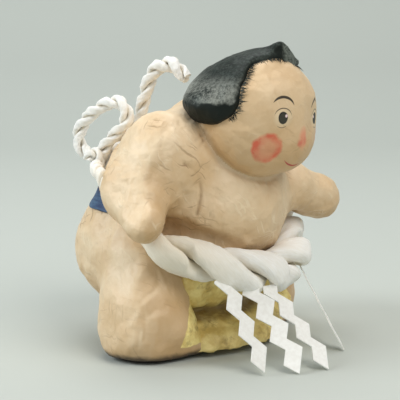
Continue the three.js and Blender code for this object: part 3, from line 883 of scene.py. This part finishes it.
def hairline(p):
    x, y, z = p.T
    back = np.clip((z - 126) / 13, 0, 1)
    slant = np.interp(x, [-15, -5, 6, 12, 19], [0, 6.2, 8.8, 3, 0])
    return -41.7 + 0.8 * back - slant * np.clip((z - 130) / 5, 0, 1) - y


def skull_cover(p):
    return head(p) - 2


hair_mass = together([
    skull_cover, swelling((0, -20, 123), (27, 20, 16)),
    *both_sides((19, -25, 121), (16, 17.5, 9.5)),
], 6)


def hair_field(p):
    y, z = p[:, 1], p[:, 2]
    value = soft_most(hair_mass(p), hairline(p), 2)
    value = soft_most(value, 112.5 + 0.75 * np.maximum(y + 16, 0) - z, 3)
    value = soft_most(value, ((y + 42) * -8 + (z - 120) * -9) / 12.04, 4)
    return soft_least(value, topknot_form(p), 2)


hair_black, tree, shader = finish("hair_black")
place = object_place(tree)
apart = axes(tree, place)
brushed = vector_maths(tree, "MULTIPLY", place, (900, 160, 500))
brushed = noise(tree, brushed, 1.0, 4.0, Distortion=0.4)["Fac"]
worn = noise(tree, place, 110.0, 5.0, Roughness=0.65)["Fac"]
speck = noise(tree, place, 700.0, 4.0, Roughness=0.7)["Fac"]
patch = noise(tree, place, 75.0, 2.0)["Fac"]
upward = axes(tree, surface_normal(tree))["Z"]
black = mixed(tree, stepped(tree, worn, 0.5, 0.8), srgb(8, 11, 8), srgb(24, 30, 26))
# Upward faces are flecked lighter: partly dust, partly painted sheen from the light above.
dust_and_sheen = times(tree, stepped(tree, upward, 0.1, 0.5), stepped(tree, speck, 0.4, 0.7))
black = mixed(tree, dust_and_sheen, black, srgb(52, 60, 55))
# A mottled grey patch on the upper face of the roll: a painted highlight.
painted_highlight = times(tree, stepped(tree, upward, 0.1, 0.4), stepped(tree, apart["Z"], 137 * MM, 128 * MM))
painted_highlight = times(tree, painted_highlight, stepped(tree, maths(tree, "ADD", speck, patch), 0.75, 1.25))
black = mixed(tree, painted_highlight, black, srgb(138, 140, 132))
# The front right facet of the topknot is flecked grey: a painted reflection on the black paint.
facet_reflection = times(
    tree, stepped(tree, apart["X"], -1 * MM, 1.5 * MM), stepped(tree, apart["Z"], 136 * MM, 140 * MM),
    stepped(tree, apart["Y"], -45.5 * MM, -47.5 * MM), stepped(tree, speck, 0.3, 0.6),
)
feed(tree, shader, {
    "Base Color": mixed(tree, facet_reflection, black, srgb(104, 110, 103)),
    "Roughness": maths(tree, "MULTIPLY_ADD", worn, 0.3, 0.36),
    "Specular IOR Level": 0.32, "Specular Tint": srgb(238, 255, 246),
})
embossed(tree, shader, maths(tree, "MULTIPLY_ADD", brushed, 0.8, worn), 0.4, 0.8 * MM)

hair = fused("hair_form", [moulded(hair_field, (0, -26, 125), 6)], 0.7)
set_points(hair.data, drawn_to(hair_field, points_of(hair.data), 2))
hair = grown(hair, wrinkles, {
    "Lump Height": 0.9 * MM, "Lump Size": 9 * MM, "Strip Slope": 0.12, "Strip Size": 10 * MM,
    "Material": hair_black,
})
face_middles = read(hair.data.polygons, "center", 3) / MM
on_top = ((topknot_form(face_middles) < 1.2) & (head(face_middles) > 3)).astype(int)
hair_pieces = split(hair, on_top, ["hair_roll", "topknot_ridge"])
bpy.data.objects.remove(hair)
for made, node in zip(hair_pieces, ("hair_cap", "topknot")):
    made.data.materials.append(hair_black)
    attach(made, "doll")
    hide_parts(node)


# Brush strokes at the hairline: single flicks of the hair's black paint.
# Each one is drawn with the tip of the brush from the edge of the hair onto the skin.
tufts, given = node_group("brush_flicks", "Geometry", {
    "Geometry": "Geometry", "Length": "Float", "Width": "Float", "Seed": "Int",
    "Material": "Material",
}, {"Geometry": "Geometry"})
blade = shaped(tufts, "MeshCone", {
    "Vertices": 6, "Radius Top": 0.0, "Radius Bottom": 0.5, "Depth": 1.0,
})
blade = shaped(tufts, "Transform", {"Geometry": blade, "Rotation": (0, math.pi / 2, 0)})
longer = add(tufts, "FunctionNodeRandomValue", {
    2: 0.5, 3: 1.3, "Seed": given["Seed"],
}, data_type="FLOAT")[1]
size = add(tufts, "ShaderNodeCombineXYZ", {
    "X": times(tufts, given["Length"], longer), "Y": given["Width"],
    "Z": times(tufts, given["Width"], 0.5),
})[0]
outward, onward = (
    shaped(tufts, "InputNamedAttribute", {"Name": name}, data_type="FLOAT_VECTOR")
    for name in ("out", "way")
)
facing = add(tufts, "FunctionNodeAxesToRotation", {
    "Primary Axis": outward, "Secondary Axis": onward,
}, primary_axis="Z", secondary_axis="X")[0]
placed = shaped(tufts, "InstanceOnPoints", {
    "Points": given["Geometry"], "Instance": blade, "Rotation": facing, "Scale": size,
})
end_group(tufts, placed, given["Material"])

flick_count = 560
random = np.random.default_rng(4)
rim = points_of(head_skin.data)
shown = (rim[:, 1] < -27) & ((rim[:, 2] > 121) | (rim[:, 1] < -37))
rim = rim[(np.abs(hair_field(rim)) < 0.7) & shown]
rim = rim[random.permutation(len(rim))[:flick_count]]
out, way = (slope_of(field, rim) for field in (head, hair_field))
out /= np.linalg.norm(out, axis=1)[:, None]
way /= np.linalg.norm(way, axis=1)[:, None]
way = way + random.normal(0, 0.4, rim.shape)
way -= np.sum(way * out, axis=1)[:, None] * out
flick_mesh = mesh_of("hairline_flicks", rim + out * 0.1, [])
for key, values in (("out", out), ("way", way)):
    attribute = flick_mesh.attributes.new(key, "FLOAT_VECTOR", "POINT")
    attribute.data.foreach_set("vector", values.astype(np.float32).ravel())
flicks = grown(piece("hairline_flicks", flick_mesh), tufts, {
    "Length": 3.3 * MM, "Width": 0.45 * MM, "Seed": 3, "Material": hair_black,
})
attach(flicks, "doll")


# Gold apron: a panel of stiffened paper, hollowed by hand between the legs and painted gold.
# Its sides die into the legs and its lower edge nearly touches the ground.
def grid_solid(name, front, back):
    count = front[..., 0].size
    index = np.arange(count).reshape(front.shape[:2])
    corners = (index[:-1, :-1], index[:-1, 1:], index[1:, 1:], index[1:, :-1])
    squares = np.stack(corners, axis=2).reshape(-1, 4)
    rim = [*index[0, :], *index[1:, -1], *index[-1, -2::-1], *index[-2:0:-1, 0]]
    sides = [[b, a, a + count, b + count] for a, b in zip(rim, rim[1:] + rim[:1])]
    points = np.vstack([front.reshape(-1, 3), back.reshape(-1, 3)])
    faces = [*squares, *(squares[:, [0, 3, 2, 1]] + count), *sides]
    return piece(name, mesh_of(name, points, faces))


gold, tree, shader = finish("gold_paint")
place = object_place(tree)
leaf = covered_by(tree, gilt)
# The apron is painted darker towards the bottom: painted shade near the ground.
hem = stepped(tree, axes(tree, place)["Z"], 20 * MM, 8 * MM)
gold_with_shade = painted(tree, leaf["Colour"], hem, 0.25, srgb(150, 118, 52))
streaks = vector_maths(tree, "MULTIPLY", place, (70, 70, 240))
streaks = noise(tree, streaks, 1.0, 4.0, Roughness=0.6)["Fac"]
# The hollow under the belly is painted dark brown: painted shade in the recess.
hollow = add(tree, "ShaderNodeAttribute", attribute_name="hollow")["Fac"]
hollow = times(tree, hollow, maths(tree, "ADD", streaks, 0.35))
gold_with_shade = painted(tree, gold_with_shade, stepped(tree, hollow, 0.3, 0.75), 0.85, srgb(112, 82, 30))
feed(tree, shader, {"Base Color": gold_with_shade, "Metallic": 0.05, "Roughness": 0.42})
embossed(tree, shader, leaf["Height"], 0.5, 1 * MM)

apron_half = 38
apron_fall = 15
apron_thickness = 3
hollow_height, hollow_width = 19.5, 5
profile = spline_through([
    (-30, 46), (-33, 38), (-32, 31), (-28, 25.5), (-23, 21), (-28, 16), (-35, 11), (-39, 7), (-40, 3.4),
], 10)
across = np.linspace(-apron_half, apron_half, 90)[None, :]
front = np.stack(np.broadcast_arrays(
    across, profile[:, :1] + apron_fall * (across / apron_half) ** 2, profile[:, 1:],
), axis=2)
apron = grid_solid("gold_apron_panel", front, front + (0, apron_thickness, 0))
hollow = np.exp(-((front[:, :, 2] - hollow_height) / hollow_width) ** 2)
mark(apron.data, "hollow", np.tile(hollow.ravel(), 2))
apron = grown(apron, wrinkles, {
    "Lump Height": 2.5 * MM, "Lump Size": 9 * MM, "Strip Slope": 0.3, "Strip Size": 8 * MM,
    "Material": gold,
})
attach(apron, "doll")
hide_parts("gold_apron")


# Blue waist band: a narrow strip of paper pasted round the back of the waist from side to side.
# It is brushed blue along its length, and its ends are cut a little narrower.
blue, tree, shader = finish("blue_paint")
brushed = vector_maths(tree, "MULTIPLY", object_place(tree), (120, 120, 700))
brushed = noise(tree, brushed, 1.0, 4.0)["Fac"]
shade = mixed(tree, stepped(tree, brushed, 0.35, 0.7), srgb(28, 54, 96), srgb(72, 104, 134))
feed(tree, shader, {"Base Color": shade, "Roughness": 0.55})
embossed(tree, shader, brushed, 0.3, 0.4 * MM)

band_end = 92
bearings = np.linspace(-band_end, band_end, 150)
side = np.abs(bearings) / band_end
band_height = 73.5 - 5.5 * side ** 1.5 + 0.3 * np.sin(bearings * 0.16)
band_half = 3.4 - 1.0 * side ** 3 + 0.2 * np.sin(bearings * 0.37)
turn = np.radians(bearings)
level = np.zeros_like(turn)
rays = np.stack([np.sin(turn), np.cos(turn), level], axis=1)
layers = []
for lift in (1.0, 0.1):
    rows = []
    for share in np.linspace(-1, 1, 12):
        start = np.stack([level, level + 2, band_height + share * band_half], axis=1)
        rows.append(start + rays * reach_along(torso, start, rays, lift)[:, None])
    layers.append(np.stack(rows))
belt = grid_solid("blue_belt_strip", *layers)
belt.data.materials.append(blue)
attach(belt, "doll")
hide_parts("blue_belt")


# Waist rope: two thick strands of soft white string laid round each other, thickest in front.
# It rides on the hips in front, passes behind the right arm and thins to the knot at the back.
# A station is the bearing from the front to the right, the height, the radius and the lay's pitch.
stations = np.array([
    (-192, 85, 3.2, 16), (-154, 71, 3.8, 18), (-115, 59, 5.4, 28), (-77, 51, 8.2, 54),
    (-38, 43.5, 9.8, 62), (0, 38.3, 10.3, 63), (34, 43.3, 10, 63), (68, 51.5, 9.2, 62),
    (78, 56.5, 7.4, 52), (84, 60, 5.4, 34), (90, 63, 3.8, 20), (95, 65.5, 3.2, 16),
    (103, 68.5, 3, 16), (110, 70.5, 3, 16), (117, 74, 3, 16), (125, 79, 3.2, 16),
    (134, 83.5, 3.2, 16), (150, 85, 3.2, 16), (168, 85, 3.2, 16),
], float)
waist_middle = -2
rope_seat = 0.9
front_lay = -163


def hips(p):
    return np.minimum(torso(p), np.minimum(right_leg(p), left_leg(p)))


def at_bearing(bearings, column):
    return np.interp(bearings, stations[:, 0], stations[:, column])


bearings = np.arange(160, -185, -8.0)
turn = np.radians(bearings)
level = np.zeros_like(turn)
outward = np.stack([-np.sin(turn), -np.cos(turn), level], axis=1)
start = np.stack([level, level + waist_middle, at_bearing(bearings, 1)], axis=1)
reach = reach_along(hips, start, outward, at_bearing(bearings, 2) + rope_seat)
line = spline_through(start + outward * reach[:, None], 12)
bearing = np.degrees(np.arctan2(-line[:, 0], waist_middle - line[:, 1]))
bearing = np.where(bearing > stations[-1, 0], bearing - 360, bearing)
turns = np.diff(run_of(line)) / at_bearing(bearing, 3)[1:]
turns = np.concatenate([[0], np.cumsum(turns)])
turns -= turns[np.argmin(np.abs(bearing))]
tilts = turns * 2 * math.pi + math.radians(front_lay)
rope = grown(path_of("waist_rope", line * MM, at_bearing(bearing, 2) * MM, tilts), strands, {
    "Breadth": 0.8, "Sides": 48, "Fibre Depth": 0.05, "Fibre Count": 5.0, "Level": True,
    "Unevenness": 1.2 * MM, "Material": cotton,
})
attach(rope, "doll")
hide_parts("rope_strand_1", "rope_strand_2")


# Knot: the two thin ends of the rope, wound round each other behind the waist and drawn tight.
# The loop and the tail of the tie come out of it.
knot_radius = 2.9
knot_twist = 12
knot_length = 12
wind = np.linspace(0, 1, 90)
round_knot = wind * 5 * math.pi
winding = knot_centre / MM + np.stack([
    knot_length * (wind - 0.5), 2.6 * np.cos(round_knot), 4.0 * np.sin(round_knot),
], axis=1)
tilts = run_of(winding) / knot_twist * 2 * math.pi
radii = np.full(len(wind), knot_radius * MM)
knot = grown(path_of("rope_knot_turns", winding * MM, radii, tilts), strands, {
    "Breadth": 0.7, "Sides": 20, "Fibre Depth": 0.25, "Fibre Count": 3.0, "Level": False,
    "Unevenness": 0.6 * MM, "Material": cotton,
})
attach(knot, "doll")
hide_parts("rope_knot")


# Streamers: four strips of thin white paper, cut to a zigzag and folded out.
# Each is tucked under the rope by its top edge and splays down to the ground.
white_paper, tree, shader = finish("white_paper")
cloud = noise(tree, object_place(tree), 500.0, 5.0)["Fac"]
shade = mixed(tree, stepped(tree, cloud, 0.3, 0.7), srgb(240, 239, 234), srgb(248, 248, 244))
feed(tree, shader, {"Base Color": shade, "Roughness": 0.7})
embossed(tree, shader, cloud, 0.15, 0.2 * MM)

grid_step = 1.2 * MM
upright = Vector((0, 0, 1))
for number in (1, 2, 3, 4):
    node = f"streamer_{number}"
    strip = bmesh.new()
    strip.from_mesh(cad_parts[node].data)
    bmesh.ops.remove_doubles(strip, verts=strip.verts, dist=1e-5)
    bmesh.ops.dissolve_limit(strip, angle_limit=0.01, verts=strip.verts, edges=strip.edges)
    normal = max(strip.faces, key=lambda f: f.calc_area()).normal.copy()
    for direction in (upright, normal.cross(upright)):
        direction = (direction - direction.dot(normal) * normal).normalized()
        reaches = [direction.dot(v.co) for v in strip.verts]
        for level in np.arange(min(reaches) + grid_step, max(reaches), grid_step):
            bmesh.ops.bisect_plane(
                strip, geom=strip.verts[:] + strip.edges[:] + strip.faces[:], dist=1e-7,
                plane_co=direction * level, plane_no=direction,
            )
    bmesh.ops.triangulate(strip, faces=strip.faces[:])
    bmesh.ops.recalc_face_normals(strip, faces=strip.faces[:])
    mesh = bpy.data.meshes.new(node + "_paper")
    strip.to_mesh(mesh)
    strip.free()
    mesh.materials.append(white_paper)
    paper = piece(node + "_paper", mesh)
    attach(paper, node + "_sheet")
    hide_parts(node)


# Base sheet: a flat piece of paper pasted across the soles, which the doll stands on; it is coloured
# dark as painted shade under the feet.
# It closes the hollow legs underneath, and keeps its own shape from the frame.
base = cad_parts["base_sheet"]
base_paper = paper_skin(
    "base_paper", srgb(70, 60, 46), srgb(52, 44, 34), srgb(40, 32, 24), srgb(34, 28, 20), 1.0,
)[0]
base.data.materials.clear()
base.data.materials.append(base_paper)


# Floor and light: a pale paper sweep that runs up behind the doll, and an even pale sky.
# A broad cool light stands high on the left, a softer warm one on the right, and a weak one above.
deep = Vector((-away.x, -away.y, 0)).normalized()
wide = Vector((-deep.y, deep.x, 0))
floor_paint, tree, shader = finish("floor_paint")
feed(tree, shader, {
    "Base Color": srgb(190, 195, 189), "Roughness": 0.9, "Specular IOR Level": 0.1,
})
floor_half = 2
sweep = [(-1.2, 0), (0.7, 0), (0.95, 0.05), (1.1, 0.18), (1.16, 0.4), (1.18, 1.6)]
floor_mesh = bpy.data.meshes.new("floor")
floor_mesh.from_pydata(
    [deep * y + wide * x + upright * z for y, z in sweep for x in (-floor_half, floor_half)],
    [], [(2 * i, 2 * i + 1, 2 * i + 3, 2 * i + 2) for i in range(len(sweep) - 1)],
)
floor_mesh.shade_smooth()
floor_mesh.materials.append(floor_paint)
floor = piece("floor", floor_mesh)

world = bpy.data.worlds.new("sky")
world.use_nodes = True
feed(world.node_tree, world.node_tree.nodes["Background"], {
    "Color": srgb(240, 244, 246), "Strength": 0.38,
})
scene.world = world

for name, place, aim_height, size, power, tint in (
    ("key", wide * 1.3 - deep * 0.2 + upright * 0.85, 0.06, 0.7, 13.2, (0.93, 0.975, 1)),
    ("top", deep * 0.4 + upright * 1.2, 0.05, 0.8, 6.6, (1, 1, 1)),
    ("fill", away * 0.75 - wide * 0.6 + upright * 0.95, 0.07, 0.9, 9.6, (1, 0.962, 0.9)),
):
    light = bpy.data.lights.new(name, "AREA")
    light.size = size
    light.energy = power
    light.color = tint
    lamp = piece(name, light)
    lamp.location = place
    lamp.rotation_euler = (place - upright * aim_height).to_track_quat("Z", "Y").to_euler()

scene.view_settings.view_transform = "Standard"
